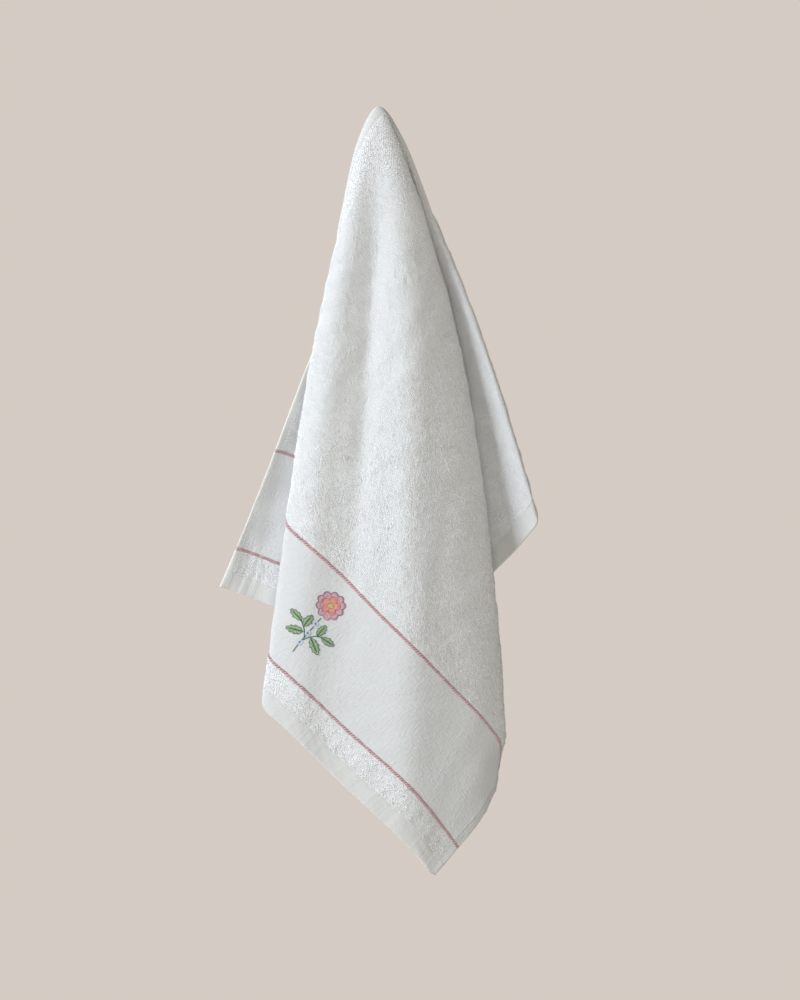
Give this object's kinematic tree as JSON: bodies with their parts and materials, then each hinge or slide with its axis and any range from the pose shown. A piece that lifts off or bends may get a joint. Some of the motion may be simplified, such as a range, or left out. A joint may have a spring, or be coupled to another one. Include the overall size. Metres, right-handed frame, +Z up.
{
  "type": "hanging hand towel",
  "caption": "White terry hand towel hung by one point of its long side hem, falling in a cone of folds, with dusty-pink rope stripes round a smooth band and a small embroidered flower sprig.",
  "frame": {"origin": "the hanging point: the underside of the cloth at the top, where it rests on whatever holds it up", "axes": "+Z up, +Y away from the viewer towards the wall behind the towel, +X to the right of the front panel"},
  "size_m": [0.273, 0.0792, 0.6523],
  "materials": {
    "terry": "matte looped cotton terry"
  },
  "bodies": {
    "root": {"towel": "terry"}
  },
  "joints": []
}
